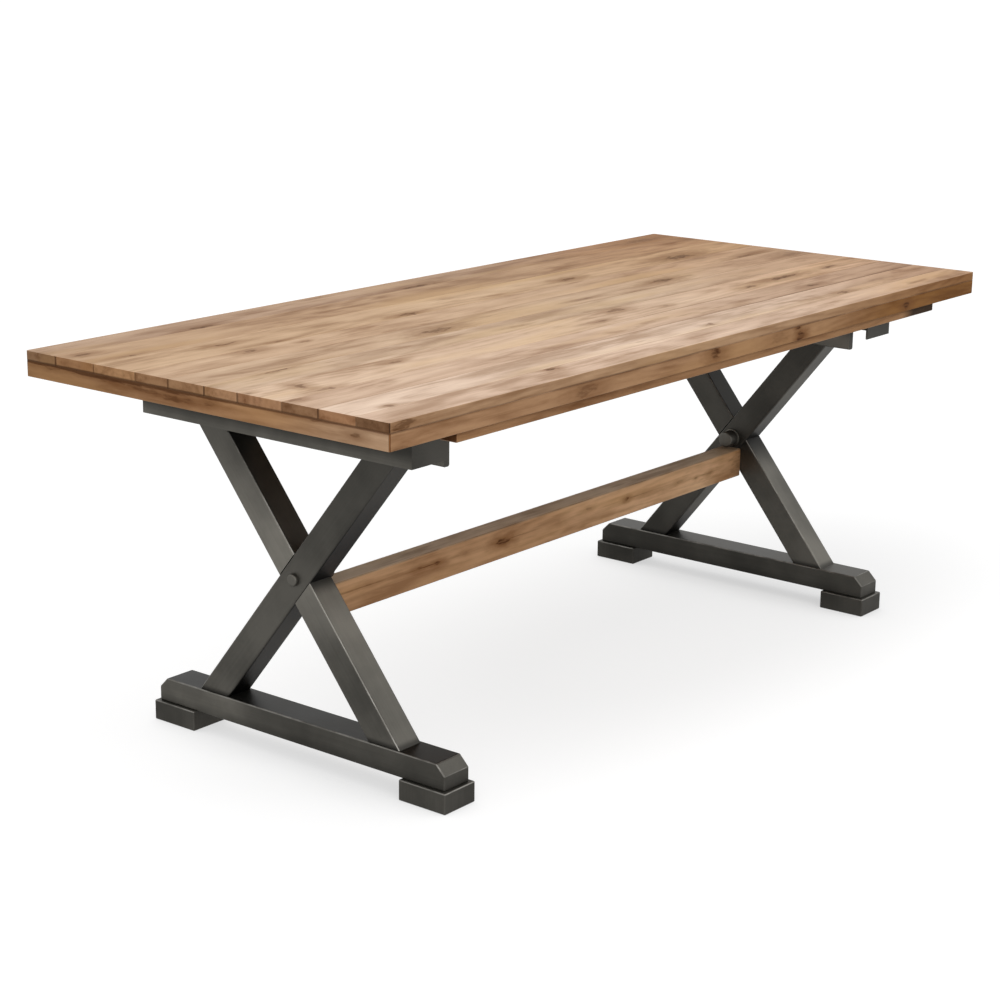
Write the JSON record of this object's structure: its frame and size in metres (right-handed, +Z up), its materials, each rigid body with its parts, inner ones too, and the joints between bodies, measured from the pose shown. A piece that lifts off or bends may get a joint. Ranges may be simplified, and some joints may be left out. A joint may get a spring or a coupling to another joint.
{
  "type": "sawbuck table",
  "caption": "Dining table with a plank top on crossed steel legs with foot beams, tied by a low timber stretcher.",
  "frame": {"origin": "on the floor, under the middle of the top", "axes": "+X along the table, to the right when it is seen from the front; +Y to its back; +Z up"},
  "size_m": [2, 0.88, 0.76],
  "materials": {
    "top_timber": "satin oil",
    "frame_timber": "satin oil",
    "stretcher_timber": "satin oil",
    "gunmetal": "satin",
    "bolt_steel": "satin",
    "screw_steel": "zinc plated"
  },
  "bodies": {
    "root": {"beam_end_back_left": "gunmetal", "beam_end_back_right": "gunmetal", "beam_end_front_left": "gunmetal", "beam_end_front_right": "gunmetal", "bolt_nuts": "bolt_steel", "bolt_washers": "bolt_steel", "cross_bearer_center": "frame_timber", "cross_bearer_left": "frame_timber", "cross_bearer_right": "frame_timber", "cross_bolts": "bolt_steel", "edge_batten_back": "frame_timber", "edge_batten_front": "frame_timber", "end_frame_left": "frame_timber", "end_frame_right": "frame_timber", "foot_beam_left": "gunmetal", "foot_beam_right": "gunmetal", "foot_block_back_left": "gunmetal", "foot_block_back_right": "gunmetal", "foot_block_front_left": "gunmetal", "foot_block_front_right": "gunmetal", "leg_bar_left": "gunmetal", "leg_bar_right": "gunmetal", "leg_long_left": "gunmetal", "leg_long_right": "gunmetal", "leg_lower_left": "gunmetal", "leg_lower_right": "gunmetal", "leg_upper_left": "gunmetal", "leg_upper_right": "gunmetal", "long_frame_back": "frame_timber", "long_frame_front": "frame_timber", "rail_plate_back_left": "gunmetal", "rail_plate_back_right": "gunmetal", "rail_plate_front_left": "gunmetal", "rail_plate_front_right": "gunmetal", "rail_screws": "screw_steel", "stretcher": "stretcher_timber", "stretcher_screws": "screw_steel", "stretcher_spigot_left": "gunmetal", "stretcher_spigot_right": "gunmetal", "top_plank_01": "top_timber", "top_plank_02": "top_timber", "top_plank_03": "top_timber", "top_plank_04": "top_timber", "top_plank_05": "top_timber", "top_plank_06": "top_timber", "top_plank_07": "top_timber", "top_plank_08": "top_timber", "top_plank_09": "top_timber", "top_plank_10": "top_timber", "top_rail_left": "gunmetal", "top_rail_right": "gunmetal"}
  },
  "joints": []
}
